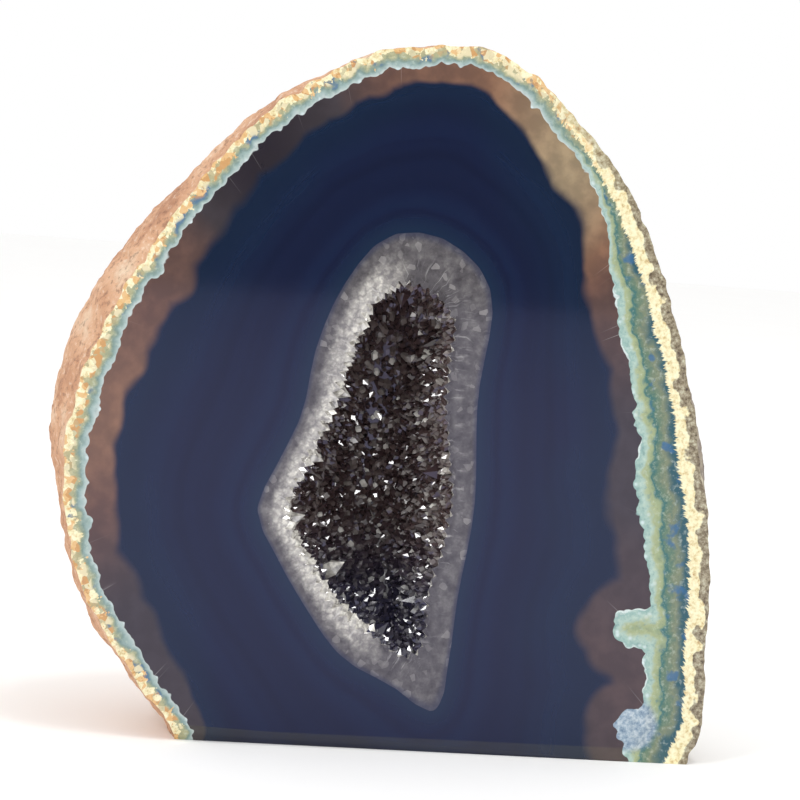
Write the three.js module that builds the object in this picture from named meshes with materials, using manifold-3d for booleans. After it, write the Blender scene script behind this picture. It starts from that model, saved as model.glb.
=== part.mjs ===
// Half of an agate geode, sawn through, polished on its front and sawn flat underneath so that it stands.
// It is a nodule of banded agate in a rough rind, with a pocket whose wall is lined by quartz crystals.
// Millimetres, +Z up. The polished face looks along -Y, with +X to its right. The origin is on the base,
// under the middle of the stone's bounding box.
import * as THREE from "three";
import { mergeVertices } from "three/addons/utils/BufferGeometryUtils.js";
import Module from "manifold-3d";

const wasm = await Module();
wasm.setup();

// ---- Driving dimensions ----

const STONE_DEPTH = 50; // from the polished face to the back of the nodule
const POCKET_DEPTH = 29; // how far the quartz-lined pocket goes into the agate
const CAVITY_DEPTH = 22; // how far the open hollow inside the quartz goes in
const SEAM = 0.3; // gap between neighbouring solids
const BEVEL_RISE = 2.8; // height of the worn bevel over the base, at its left end
const BEVEL_SET_BACK = 1.7; // how far the bevel cuts back under the face, at its left end
const BEVEL_LEFT = -36.3; // x where the bevel is at its full height
const BEVEL_RIGHT = 43; // x where it has run out to nothing

// The sawn outline of the nodule on the polished face, clockwise from its lowest left point:
// [x, z, flare], where flare is the angle in degrees by which the rind opens outwards behind the face.
// The stretch below z = 0 is sawn off by the base.
const NODULE_OUTLINE = [
  [-19, -7.5, 4],
  [-28, 0, 2],
  [-36.3, 7.9, 2],
  [-43.4, 18, 3],
  [-48, 28.5, 5],
  [-49.8, 40, 12],
  [-49.2, 49, 18],
  [-47, 57, 22],
  [-44.3, 64, 23],
  [-39.6, 73, 21],
  [-35.4, 81.5, 16],
  [-30, 89.5, 11],
  [-22.8, 97.5, 9],
  [-14.5, 103.3, 8],
  [-6, 107.6, 6],
  [2.5, 108.8, 5],
  [11, 107.8, 6],
  [18.6, 103.6, 9],
  [27.4, 95, 13],
  [34.6, 86, 17],
  [39.2, 76, 21],
  [43, 65, 22],
  [45.8, 53, 22],
  [48.2, 42, 22],
  [49.6, 32, 22],
  [50.2, 22, 20],
  [51, 12, 16],
  [51.2, 5.6, 10],
  [49.2, 1.4, 6],
  [43, -1.2, 4],
  [30, -7, 4],
  [12, -12, 4],
  [-4, -12, 4],
];
const NODULE_CENTRE = [1, 52]; // x and z of the middle that the outline surrounds
const NODULE_LEAN = -14; // how much lower the back of the nodule sits than its middle on the face
const LUMP_HEIGHT = 1.1; // the rind's broad humps and hollows
const LUMP_FADE = 14; // how far behind the face the humps reach their full height

// The edge of the grey quartz where it meets the blue agate, and the ragged mouth of the hollow inside it.
const QUARTZ_OUTLINE = [
  [9.2, 6, 6],
  [2, 10, 6],
  [-6, 14, 6],
  [-13, 22.5, 6],
  [-17.6, 29.5, 6],
  [-20.8, 35.8, 6],
  [-18.2, 43, 6],
  [-15, 51, 6],
  [-13.6, 61, 6],
  [-10, 71, 6],
  [-4, 78.6, 6],
  [3.6, 79.2, 6],
  [10.8, 74.6, 6],
  [13, 69.5, 6],
  [11.9, 55, 6],
  [12.7, 38, 6],
  [11.2, 24, 6],
  [10.6, 14, 6],
];
const MOUTH_OUTLINE = [
  [4.2, 14.4, 10],
  [-1, 17.4, 10],
  [-6.2, 21.2, 10],
  [-10.2, 27, 10],
  [-13.9, 32.5, 10],
  [-15, 37, 10],
  [-12.4, 45.6, 10],
  [-10, 52.6, 8],
  [-8, 58.8, 6],
  [-7, 65.2, 4],
  [-5.6, 70, 2],
  [-1, 71.8, 0],
  [3.6, 70.6, 0],
  [7, 67, 0],
  [8.4, 60, 0],
  [8.6, 50, 0],
  [9.2, 40, 0],
  [8.6, 31, 0],
  [7.2, 22, 2],
  [6.6, 16.6, 6],
];
const POCKET_CENTRE = [-1, 42]; // x and z of the middle that both outlines surround
const POCKET_LEAN = 2; // how much higher the pocket's deepest point sits than its middle

// The bed of quartz crystals, drawn coarser than the real one-millimetre points.
const BED_RINGS = 6;
const BED_SPACING = 4.6;
const BED_WIDTH = 4.4;
const BED_WIDTH_VARIES = 0.14; // as a share of the width, more or less
const BED_LENGTH = 4.6;
const BED_ROOT = 2; // how deep a bed crystal's root goes into the quartz
// A few crystals stand out of the bed around the mouth, each seated in its own socket.
const LARGE_CRYSTALS = 12;
const LARGE_WIDTH = 2.6;
const LARGE_LENGTH = 5;
const LARGE_LENGTH_VARIES = 0.15;
const LARGE_ROOT = 2.4;
const LARGE_DEPTH_SHARE = [0.2, 0.34, 0.26]; // how far down the wall they stand, one after another
const TIP_SHARE = 0.8; // a quartz tip's height over the crystal's width
const CORNER_GROWTH = 2.4; // a margin all round widens a six-sided crystal by this many margins

// Mesh fineness: columns run round an outline, rows from the face to the back.
const NODULE_MESH = { columns: 84, rows: 18 };
const QUARTZ_MESH = { columns: 48, rows: 9 };
const CAVITY_MESH = { columns: 40, rows: 8 };
const MERGE_DISTANCE = 1e-4;
const AROUND_STEP = 0.01; // shares of the outline and of the depth over which a wall's slope is measured
const DEEP_STEP = 0.04;
const FAR = 300; // larger than the stone, for cutting blocks

// ---- Solids and cuts ----

/** A closed three.js geometry as a manifold-3d solid. */
function solidOf(geometry) {
  const bare = geometry.clone();
  bare.deleteAttribute("normal");
  bare.deleteAttribute("uv");
  const merged = mergeVertices(bare, MERGE_DISTANCE);
  return new wasm.Manifold(
    new wasm.Mesh({
      numProp: 3,
      vertProperties: merged.attributes.position.array,
      triVerts: new Uint32Array(merged.index.array),
    }),
  );
}

/** A manifold-3d solid as a three.js geometry with flat facets. */
function geometryOf(solid) {
  const mesh = solid.getMesh();
  const indexed = new THREE.BufferGeometry();
  indexed.setAttribute("position", new THREE.BufferAttribute(new Float32Array(mesh.vertProperties), 3));
  indexed.setIndex(new THREE.BufferAttribute(new Uint32Array(mesh.triVerts), 1));
  const faceted = indexed.toNonIndexed();
  faceted.computeVertexNormals();
  return faceted;
}

/** The block beyond a plane: the plane goes through point, and outward is its side away from the stone. */
function beyondPlane(point, outward) {
  const block = new THREE.BoxGeometry(FAR, FAR, FAR);
  block.translate(0, 0, FAR / 2);
  const up = new THREE.Vector3(0, 0, 1);
  block.applyQuaternion(new THREE.Quaternion().setFromUnitVectors(up, outward.clone().normalize()));
  block.translate(point.x, point.y, point.z);
  return solidOf(block);
}

// ---- Domes: the nodule, the pocket and the hollow ----

/** A smooth closed curve through [x, z, flare] points, with the flare as the curve's y, in radians. */
function outlineCurve(points, inset = 0, centre = [0, 0]) {
  const vectors = points.map(([x, z, flare]) => {
    const out = new THREE.Vector2(x - centre[0], z - centre[1]);
    out.setLength(out.length() - inset);
    return new THREE.Vector3(centre[0] + out.x, THREE.MathUtils.degToRad(flare), centre[1] + out.y);
  });
  return new THREE.CatmullRomCurve3(vectors, true, "centripetal");
}

/** The point of a dome at share around (0 to 1) and share deep (0 at the face, 1 at the back). */
function domePoint(dome, around, deep) {
  const rim = dome.curve.getPointAt(THREE.MathUtils.euclideanModulo(around, 1));
  const flare = rim.y;
  const turn = THREE.MathUtils.lerp(-flare, Math.PI / 2, deep);
  const spread = Math.cos(turn) / Math.cos(flare);
  const depth = (dome.depth * (Math.sin(turn) + Math.sin(flare))) / (1 + Math.sin(flare));
  const middleX = dome.centre[0];
  const middleZ = dome.centre[1] + (dome.lean * depth) / dome.depth;
  return new THREE.Vector3(
    middleX + (rim.x - dome.centre[0]) * spread,
    depth,
    middleZ + (rim.z - dome.centre[1]) * spread,
  );
}

/** A dome as a closed geometry: a lathed unit half-ball, its flat side on the face, pulled to the outline. */
function domeGeometry(dome, { columns, rows }) {
  const profile = [new THREE.Vector2(0, 0)];
  for (let row = 0; row <= rows; row++) {
    const turn = (row / rows) * (Math.PI / 2);
    profile.push(new THREE.Vector2(row === rows ? 0 : Math.cos(turn), Math.sin(turn)));
  }
  const geometry = new THREE.LatheGeometry(profile, columns);
  const position = geometry.attributes.position;
  for (let i = 0; i < position.count; i++) {
    const [x, y, z] = [position.getX(i), position.getY(i), position.getZ(i)];
    const column = Math.round((Math.atan2(x, z) / (2 * Math.PI)) * columns);
    const onAxis = Math.hypot(x, z) < MERGE_DISTANCE;
    const deep = Math.round((Math.asin(Math.min(y, 1)) / (Math.PI / 2)) * rows) / rows;
    const place = domePoint(dome, onAxis ? 0 : column / columns, deep);
    if (onAxis && y === 0) place.set(dome.centre[0], 0, dome.centre[1]);
    position.setXYZ(i, place.x, place.y, place.z);
  }
  return geometry;
}

/** Broad, smooth humps over the rind, as a height in millimetres at a point. */
function lumpHeight({ x, y, z }) {
  const broad = Math.sin(x / 11 + 1.3) * Math.cos(z / 13 - 0.4) + Math.sin(y / 9 + z / 17);
  const small = Math.sin(x / 5.2 - y / 6.1) * Math.sin(z / 6.4 + 0.8);
  return LUMP_HEIGHT * (0.62 * broad + 0.45 * small);
}

/** Raises the humps on a nodule. They fade out at the face, where the sawn outline stays as drawn. */
function addLumps(geometry, dome) {
  const position = geometry.attributes.position;
  const middle = new THREE.Vector3(dome.centre[0], dome.depth * 0.2, dome.centre[1]);
  for (let i = 0; i < position.count; i++) {
    const point = new THREE.Vector3().fromBufferAttribute(position, i);
    const fade = THREE.MathUtils.smoothstep(point.y, 0, LUMP_FADE);
    const out = point.clone().sub(middle).normalize();
    point.addScaledVector(out, lumpHeight(point) * fade);
    position.setXYZ(i, point.x, point.y, point.z);
  }
  return geometry;
}

const nodule = {
  curve: outlineCurve(NODULE_OUTLINE),
  centre: NODULE_CENTRE,
  depth: STONE_DEPTH,
  lean: NODULE_LEAN,
};
const pocket = {
  curve: outlineCurve(QUARTZ_OUTLINE),
  centre: POCKET_CENTRE,
  depth: POCKET_DEPTH,
  lean: POCKET_LEAN,
};
const quartz = {
  curve: outlineCurve(QUARTZ_OUTLINE, SEAM, POCKET_CENTRE),
  centre: POCKET_CENTRE,
  depth: POCKET_DEPTH - SEAM,
  lean: POCKET_LEAN,
};
const cavity = {
  curve: outlineCurve(MOUTH_OUTLINE),
  centre: POCKET_CENTRE,
  depth: CAVITY_DEPTH,
  lean: POCKET_LEAN,
};

// ---- The agate: the nodule, less the base, the bevel and the pocket ----

function agateSolid() {
  const whole = solidOf(addLumps(domeGeometry(nodule, NODULE_MESH), nodule));
  const base = beyondPlane(new THREE.Vector3(0, 0, 0), new THREE.Vector3(0, 0, -1));
  // The bevel runs out to nothing at the right end of the base.
  const leftEnd = new THREE.Vector3(BEVEL_LEFT, 0, BEVEL_RISE);
  const leftUnder = new THREE.Vector3(BEVEL_LEFT, BEVEL_SET_BACK, 0);
  const rightEnd = new THREE.Vector3(BEVEL_RIGHT, 0, 0);
  const outward = leftUnder.clone().sub(leftEnd).cross(rightEnd.clone().sub(leftEnd));
  if (outward.y > 0) outward.negate();
  const bevel = beyondPlane(rightEnd, outward);
  const hollow = solidOf(domeGeometry(pocket, QUARTZ_MESH));
  return whole.subtract(base).subtract(bevel).subtract(hollow);
}

// ---- The quartz: crystals on the hollow's wall ----

/** One quartz point: a six-sided prism under a six-sided tip, its root at the origin, growing along +Y. */
function crystalGeometry(width, length) {
  const shoulder = length - width * TIP_SHARE;
  const profile = [
    new THREE.Vector2(0, 0),
    new THREE.Vector2(width / 2, 0),
    new THREE.Vector2(width / 2, shoulder),
    new THREE.Vector2(0, length),
  ];
  return new THREE.LatheGeometry(profile, 6);
}

/** Where a crystal stands on the hollow's wall: its root, and the way it grows, which is into the hollow. */
function seatOnWall(around, deep, root) {
  const wall = domePoint(cavity, around, deep);
  const ahead = domePoint(cavity, around + AROUND_STEP, deep);
  ahead.sub(domePoint(cavity, around - AROUND_STEP, deep));
  const inwards = domePoint(cavity, around, Math.min(deep + DEEP_STEP, 0.999));
  inwards.sub(domePoint(cavity, around, Math.max(deep - DEEP_STEP, 0)));
  const growth = inwards.clone().cross(ahead).normalize();
  const middle = new THREE.Vector3(cavity.centre[0], 0, wall.z);
  if (growth.dot(middle.sub(wall)) < 0) growth.negate();
  return { at: wall.addScaledVector(growth, -root), growth };
}

/** The quaternion that stands a crystal along growth, turned about itself by spin. */
function standing(growth, spin) {
  const upright = new THREE.Quaternion().setFromUnitVectors(new THREE.Vector3(0, 1, 0), growth);
  const turned = new THREE.Quaternion().setFromAxisAngle(new THREE.Vector3(0, 1, 0), spin);
  return upright.multiply(turned);
}

/** The bed: rings of crystals from the mouth to the back, each ring half a step round from the last. */
function bedCrystals() {
  const crystals = [];
  for (let ring = 0; ring < BED_RINGS; ring++) {
    const deep = (ring + 0.35) / (BED_RINGS - 0.3);
    const rimLength = cavity.curve.getLength() * Math.cos((deep * Math.PI) / 2);
    const count = Math.max(1, Math.round(rimLength / BED_SPACING));
    for (let i = 0; i < count; i++) {
      const around = (i + 0.5 * (ring % 2)) / count;
      const { at, growth } = seatOnWall(around, deep, BED_ROOT);
      const width = BED_WIDTH * (1 + BED_WIDTH_VARIES * Math.sin(7 * i + ring));
      const crystal = crystalGeometry(width, BED_LENGTH);
      crystal.applyQuaternion(standing(growth, 1.7 * i + ring));
      crystal.translate(at.x, at.y, at.z);
      crystals.push(solidOf(crystal));
    }
  }
  return crystals;
}

/** The seats of the crystals that stand out of the bed, spread round the mouth. */
function largeSeats() {
  return Array.from({ length: LARGE_CRYSTALS }, (_, i) => {
    const deep = LARGE_DEPTH_SHARE[i % LARGE_DEPTH_SHARE.length];
    const { at, growth } = seatOnWall((i + 0.4) / LARGE_CRYSTALS, deep, LARGE_ROOT);
    const length = LARGE_LENGTH * (1 + LARGE_LENGTH_VARIES * Math.sin(2.3 * i));
    return { at, growth, length, spin: 0.9 * i };
  });
}

/** One standing crystal as a geometry, swollen by a margin on every side for cutting its socket. */
function seatedCrystal(seat, margin = 0) {
  const growth = CORNER_GROWTH * margin;
  const crystal = crystalGeometry(LARGE_WIDTH + growth, seat.length + growth);
  crystal.translate(0, -margin, 0);
  crystal.applyQuaternion(standing(seat.growth, seat.spin));
  crystal.translate(seat.at.x, seat.at.y, seat.at.z);
  return crystal;
}

function quartzSolid(seats) {
  const outer = solidOf(domeGeometry(quartz, QUARTZ_MESH));
  const hollow = solidOf(domeGeometry(cavity, CAVITY_MESH));
  let druse = outer.subtract(hollow);
  for (const crystal of bedCrystals()) druse = druse.add(crystal.intersect(outer));
  for (const seat of seats) druse = druse.subtract(solidOf(seatedCrystal(seat, SEAM)));
  // Cutting the sockets can free a chip of a neighbouring crystal. Only the bed itself is kept.
  return druse.decompose().sort((a, b) => b.volume() - a.volume())[0];
}

// ---- The stone as a scene graph ----

const agateBlue = new THREE.MeshStandardMaterial({ color: "#26304f", roughness: 0.08, metalness: 0 });
const smokyQuartz = new THREE.MeshStandardMaterial({ color: "#4a4442", roughness: 0.12, metalness: 0 });
const paleQuartz = new THREE.MeshStandardMaterial({ color: "#b9b5ae", roughness: 0.1, metalness: 0 });

function namedMesh(name, geometry, material) {
  const mesh = new THREE.Mesh(geometry, material);
  mesh.name = name;
  return mesh;
}

const geode = new THREE.Group();
const stone = new THREE.Group();
const seats = largeSeats();
stone.add(namedMesh("agate_half", geometryOf(agateSolid()), agateBlue));
stone.add(namedMesh("quartz_druse", geometryOf(quartzSolid(seats)), smokyQuartz));
seats.forEach((seat, i) => {
  const name = `large_crystal_${String(i + 1).padStart(2, "0")}`;
  stone.add(namedMesh(name, seatedCrystal(seat), paleQuartz));
});

// The frame's origin is on the base, under the middle of the bounding box.
const box = new THREE.Box3().setFromObject(stone);
const middle = box.getCenter(new THREE.Vector3());
stone.position.set(-middle.x, -middle.y, -box.min.z);
geode.add(stone);

export default geode;
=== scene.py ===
# %% [markdown]
# # Half an agate geode
# The real stone is a nodule that grew in a gas bubble of old lava. It was sawn through, polished on its
# front, and sawn again underneath so that it stands. Three things are seen: a rough rind, bands of
# translucent agate inside it, and a pocket lined with quartz crystals.
#
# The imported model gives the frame: where the face, the base and the pocket are. This lesson grows the
# fine surface of the stone around that frame and gives every mineral its own material.

import math
import random
from functools import partial

import bmesh
import bpy
import numpy as np
from mathutils import Matrix, Vector, noise
from mathutils.bvhtree import BVHTree
from mathutils.geometry import delaunay_2d_cdt
from mathutils.kdtree import KDTree


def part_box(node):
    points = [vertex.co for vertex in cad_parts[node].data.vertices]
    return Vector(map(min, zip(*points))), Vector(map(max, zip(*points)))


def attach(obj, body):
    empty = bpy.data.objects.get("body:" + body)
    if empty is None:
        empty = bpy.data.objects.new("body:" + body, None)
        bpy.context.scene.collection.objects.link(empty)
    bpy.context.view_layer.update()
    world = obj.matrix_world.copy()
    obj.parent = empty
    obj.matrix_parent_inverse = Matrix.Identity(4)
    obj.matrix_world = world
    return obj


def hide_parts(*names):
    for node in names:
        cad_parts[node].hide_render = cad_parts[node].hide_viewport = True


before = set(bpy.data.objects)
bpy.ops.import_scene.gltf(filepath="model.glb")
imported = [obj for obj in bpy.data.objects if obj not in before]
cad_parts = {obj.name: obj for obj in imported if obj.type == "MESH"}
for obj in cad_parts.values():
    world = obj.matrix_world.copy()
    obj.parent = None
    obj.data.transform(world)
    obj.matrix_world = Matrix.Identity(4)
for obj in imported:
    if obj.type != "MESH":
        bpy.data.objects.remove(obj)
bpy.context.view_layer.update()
MM = 0.001
STONE_LOW, STONE_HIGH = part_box("agate_half")
DRUSE_LOW, DRUSE_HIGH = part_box("quartz_druse")
FACE_Y = STONE_LOW.y
random.seed(7)
print("the stone is", [round(side / MM, 1) for side in STONE_HIGH - STONE_LOW], "mm")

# %% [markdown]
# ## Camera
# The stone is seen from a little to the left of its face and from slightly above, through a long lens,
# so its bands stay close to their true shape. The camera is turned a few degrees about its own line of
# sight, which lets the right end of the base sit lower than the left.

# %% Camera
CAMERA_TARGET = Vector((-1.3 * MM, FACE_Y, 54.1 * MM))
CAMERA_AZIMUTH = math.radians(-10)
CAMERA_ELEVATION = math.radians(4)
CAMERA_ROLL = math.radians(4.5)
CAMERA_DISTANCE = 460 * MM


def add_camera():
    """A long-lens camera that looks at the middle of the face."""
    away = Vector(
        (
            math.sin(CAMERA_AZIMUTH) * math.cos(CAMERA_ELEVATION),
            -math.cos(CAMERA_AZIMUTH) * math.cos(CAMERA_ELEVATION),
            math.sin(CAMERA_ELEVATION),
        )
    )
    right = Vector((0, 0, 1)).cross(away).normalized()
    up = away.cross(right)
    rolled_right = right * math.cos(CAMERA_ROLL) + up * math.sin(CAMERA_ROLL)
    rolled_up = up * math.cos(CAMERA_ROLL) - right * math.sin(CAMERA_ROLL)
    turn = Matrix((rolled_right, rolled_up, away)).transposed().to_4x4()
    lens = bpy.data.cameras.new("long_lens")
    lens.lens = 135.8
    camera = bpy.data.objects.new("camera", lens)
    camera.matrix_world = Matrix.Translation(CAMERA_TARGET + away * CAMERA_DISTANCE) @ turn
    bpy.context.scene.collection.objects.link(camera)
    bpy.context.scene.camera = camera
    return camera


camera = add_camera()
print("camera at", [round(value, 3) for value in camera.matrix_world.translation])

# %% [markdown]
# ## Nodes by one helper
# Every material below is a small network. One function adds a node, sets its own properties, fills its
# sockets with numbers or with links, and hands back an output, so a network reads like a formula.
# Colours are given as the sRGB hex values that a paint program shows, and one function turns them into
# the linear values that light is added up in. Lengths inside a material are millimetres.

# %% Colour and node helpers
# What a node kind needs on nearly every use here: its own properties, and the output that is read.
USUAL = {
    "Mix": {"data_type": "RGBA"},
    "MapRange": {"interpolation_type": "SMOOTHSTEP"},
    "TexVoronoi": {"feature": "F1"},
}
USUAL_OUTPUT = {"Mix": 2, "TexCoord": 3, "Attribute": 2}


def linear(hex_colour):
    """A colour such as "#26304f" as linear red, green, blue and an alpha of 1."""
    parts = [int(hex_colour[i : i + 2], 16) / 255 for i in (1, 3, 5)]
    return [c / 12.92 if c <= 0.04045 else ((c + 0.055) / 1.055) ** 2.4 for c in parts] + [1.0]


def add_node(material, kind, sockets=None, out=None, stops=None, **settings):
    """Adds a node and gives back one of its outputs. stops are a colour ramp's (position, hex) pairs."""
    node = material.node_tree.nodes.new("ShaderNode" + kind)
    for name, value in {**USUAL.get(kind, {}), **settings}.items():
        setattr(node, name, value)
    for socket, value in (sockets or {}).items():
        if isinstance(value, bpy.types.NodeSocket):
            material.node_tree.links.new(value, node.inputs[socket])
        elif isinstance(value, str):
            node.inputs[socket].default_value = linear(value)
        else:
            node.inputs[socket].default_value = value
    for i, (position, colour) in enumerate(stops or []):
        elements = node.color_ramp.elements
        element = elements[i] if i < 2 else elements.new(position)
        element.position = position
        element.color = linear(colour)
    return node.outputs[USUAL_OUTPUT.get(kind, 0) if out is None else out]


def new_material(name, roughness, ior):
    """A Principled material, its shader's sockets, and add_node bound to it."""
    material = bpy.data.materials.new(name)
    material.use_nodes = True
    shader = material.node_tree.nodes["Principled BSDF"].inputs
    shader["Roughness"].default_value = roughness
    shader["IOR"].default_value = ior
    return material, shader, partial(add_node, material)


def plug(material, output, socket):
    """Links an output into one of the shader's own sockets."""
    material.node_tree.links.new(output, socket)


def position_mm(add):
    """The position on the stone, in millimetres."""
    return add("VectorMath", {0: add("TexCoord"), 3: 1 / MM}, operation="SCALE")


print("helpers ready; a deep blue is", [round(value, 3) for value in linear("#26304f")])

# %% [markdown]
# ## The agate's surface
# Agate breaks out of the lava with a rough, lumpy skin. The quick way to draw it is bump in the material,
# but the silhouette would stay smooth. Sculpting by hand is slow and can't be repeated. Here the frame's
# plain solid is remeshed into even quads of well under a millimetre and pushed in and out by layered
# noise, as weathering does. The sawn faces must be flat with crisp edges, so the solid first grows a
# collar in front and below, and is sawn back through that collar at the end, like the real one.

# %% Remesh and weather the rind
COLLAR = 4 * MM
QUAD = 0.62 * MM
POCKET_MARGIN = 1.5 * MM
SMOOTHINGS = 6  # rounds of smoothing that take the steps of the remesh away
FACING = 0.3  # the least of a normal along an axis where its face looks that way
STEP_DEPTH = 2.4 * MM  # behind the face, and with STEP_HEIGHT the room for the step under it
STEP_HEIGHT = 3 * MM
# Each layer of weathering: the size of its lumps and how far it moves the surface, in mm.
RIND_LAYERS = [(15.0, 0.7), (7.5, 0.5), (3.4, 0.4), (1.7, 0.26), (1.0, 0.14)]
PIT_SPACING = 3.6  # mm
PIT_DEPTH = 0.95  # mm
PIT_RADIUS = 0.42  # as a share of the spacing
PITTED_PATCH = 11.0  # mm across the patches of skin that have pits
PITTED_FROM = -0.1  # the noise value above which a patch has them
FACE_MIDDLE = Vector((0.0, 52.0))  # mm, x and z of the middle of a clock drawn on the face
SWELL_ANGLE = 300.0  # degrees on that clock
SWELL_SPREAD = 55.0  # degrees to either side at which the bulge ends
SWELL_HEIGHT = 2.6  # mm
SWELL_START = 12.0  # mm behind the face at which the bulge is at its full height
SWELL_RADIUS = 32.0  # mm from the clock's middle inside which it fades out


def in_pocket(point):
    """True on the pocket's wall, or on the piece of it that runs out through the collar."""
    low = DRUSE_LOW - Vector((POCKET_MARGIN, POCKET_MARGIN + COLLAR, POCKET_MARGIN))
    high = DRUSE_HIGH + Vector((POCKET_MARGIN, POCKET_MARGIN, POCKET_MARGIN))
    return all(low[i] <= point[i] <= high[i] for i in range(3))


def collared_solid():
    """The plain agate with its front and its base pushed out by a collar."""
    solid = bmesh.new()
    solid.from_mesh(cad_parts["agate_half"].data)
    bmesh.ops.remove_doubles(solid, verts=solid.verts, dist=0.002 * MM)
    for vert in solid.verts:
        if vert.co.y < STONE_LOW.y + 0.01 * MM:
            vert.co.y -= COLLAR
        if vert.co.z < STONE_LOW.z + 0.01 * MM:
            vert.co.z -= COLLAR
    return solid


def remeshed(solid):
    """The solid as even quads."""
    mesh = bpy.data.meshes.new("collared")
    solid.to_mesh(mesh)
    solid.free()
    carrier = bpy.data.objects.new("collared", mesh)
    bpy.context.scene.collection.objects.link(carrier)
    remesh = carrier.modifiers.new("even_quads", "REMESH")
    remesh.mode = "VOXEL"
    remesh.voxel_size = QUAD
    evaluated = carrier.evaluated_get(bpy.context.evaluated_depsgraph_get())
    fine = bmesh.new()
    fine.from_mesh(evaluated.to_mesh())
    bpy.data.objects.remove(carrier)
    return fine


def swell(point):
    """How far the nodule bulges at a point of its upper left flank, in mm."""
    across = Vector((point.x, point.z)) / MM - FACE_MIDDLE
    angle = math.degrees(math.atan2(across.x, across.y)) % 360
    aside = min(abs(angle - SWELL_ANGLE) / SWELL_SPREAD, 1.0)
    behind = max(0.0, min(1.0, (point.y - FACE_Y) / MM / SWELL_START))
    height = SWELL_HEIGHT * (0.5 + 0.5 * math.cos(math.pi * aside)) * behind * (2 - behind)
    return height * min(1.0, across.length / SWELL_RADIUS) ** 2


def weathering(point):
    """How far the skin stands out at a point, in metres: lumps, and pits where softer grains fell out."""
    place = point / MM
    height = swell(point)
    for size, amount in RIND_LAYERS:
        height += amount * noise.noise(place / size + Vector((size, 3.1, 0)))
    nearest = noise.voronoi(place / PIT_SPACING)[0][0]
    pitted = noise.noise(place / PITTED_PATCH + Vector((0, 9, 4))) - PITTED_FROM
    if pitted > 0:
        height -= PIT_DEPTH * max(0.0, 1 - nearest / PIT_RADIUS) ** 1.5 * min(1.0, pitted * 4)
    return height * MM


def on_collar_end(place, normal):
    """True on the flat ends of the two collars and on the step between them under the face."""
    front_end = place.y < FACE_Y and normal.y < -FACING
    base_end = place.z < STONE_LOW.z and normal.z < -FACING
    near_step = place.y < FACE_Y + STEP_DEPTH and place.z < STEP_HEIGHT
    step = near_step and (normal.y < -FACING or abs(normal.x) < FACING)
    return front_end or base_end or step


def weather(fine):
    """Smooths and weathers the remeshed skin, and gives back the faces that are skin."""
    skin = [v for v in fine.verts if not in_pocket(v.co)]
    for _ in range(SMOOTHINGS):
        bmesh.ops.smooth_vert(
            fine, verts=skin, factor=0.5, use_axis_x=True, use_axis_y=True, use_axis_z=True
        )
    fine.normal_update()
    rind = []
    for face in fine.faces:
        middle = face.calc_center_median()
        if not in_pocket(middle) and not on_collar_end(middle, face.normal):
            rind.append(face)
    moved = [v for v in skin if not on_collar_end(v.co, v.normal)]
    moves = [vert.normal * weathering(vert.co) for vert in moved]
    for vert, move in zip(moved, moves):
        vert.co += move
    return rind


stone = remeshed(collared_solid())
rind_faces = weather(stone)
print("the weathered stone has", len(stone.faces), "quads")

# %% [markdown]
# ## Distances inside the stone
# Agate grows in layers from the skin inwards, so each band follows the distance to the skin. That
# distance is measured once, in three dimensions, and stored on the mesh: the face, the bevel and the base
# then agree where they meet. The rind isn't equally thick all round, which a short table says by the hour
# of a clock on the face. A knob of rind and a pale patch grow inwards at the lower right.

# %% Distance fields
# Clock angle in degrees, rind width and smoky band width in mm, and how pale the smoky band is.
BAND_TABLE = [
    (0, 2.8, 3.0, 0.55),
    (30, 4.0, 5.2, 0.95),
    (60, 8.4, 4.6, 0.4),
    (90, 9.0, 3.8, 0.3),
    (108, 10.2, 5.0, 0.3),
    (122, 9.2, 6.6, 0.33),
    (138, 9.8, 6.0, 0.36),
    (155, 6.0, 6.0, 0.3),
    (205, 2.4, 2.2, 0.3),
    (230, 2.8, 5.2, 0.3),
    (265, 3.6, 4.2, 0.62),
    (300, 2.5, 5.4, 0.45),
    (325, 2.9, 4.2, 0.05),
]
KNOB = (Vector((38.2, 21.1)), Vector((49.0, 21.1)), 3.3)  # mm: from, to, radius
PATCH = (Vector((41.2, 1.6)), Vector((39.2, 5.8)), 3.4)
PATCH_SINK = 0.8  # mm by which the patch is smaller than its capsule


def tree_of_faces(bm, faces):
    """Some faces of a mesh as a tree that finds the nearest one."""
    bm.verts.index_update()
    points = [v.co.copy() for v in bm.verts]
    return BVHTree.FromPolygons(points, [[v.index for v in face.verts] for face in faces])


def tree_of_points(points):
    """Some points as a tree that finds the nearest one."""
    tree = KDTree(len(points))
    for i, point in enumerate(points):
        tree.insert(point, i)
    tree.balance()
    return tree


def from_table(angle):
    """Rind width, smoky width and smoky paleness at a clock angle, eased between the table's rows."""
    rows = BAND_TABLE + [(BAND_TABLE[0][0] + 360, *BAND_TABLE[0][1:])]
    for low, high in zip(rows, rows[1:]):
        if low[0] <= angle <= high[0]:
            share = (angle - low[0]) / (high[0] - low[0])
            share = share * share * (3 - 2 * share)
            return [a + (b - a) * share for a, b in zip(low[1:], high[1:])]
    return list(rows[0][1:])


def to_capsule(point, start, end, radius):
    """The distance from a flat point to a capsule, below zero inside it."""
    along = end - start
    share = max(0.0, min(1.0, (point - start).dot(along) / along.length_squared))
    return (point - start - along * share).length - radius


SKIN = tree_of_faces(stone, rind_faces)


def bands_at(point):
    """A point's mm from the skin, mm past the rind, share of the smoky layer, and its paleness."""
    skin = SKIN.find_nearest(point)[3] / MM
    flat = Vector((point.x, point.z)) / MM
    out = flat - FACE_MIDDLE
    angle = math.degrees(math.atan2(out.x, out.y)) % 360
    rind, smoky, pale = from_table(angle)
    past = min(skin - rind, to_capsule(flat, *KNOB), to_capsule(flat, *PATCH) + PATCH_SINK)
    return skin, past, past / smoky, pale


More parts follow.
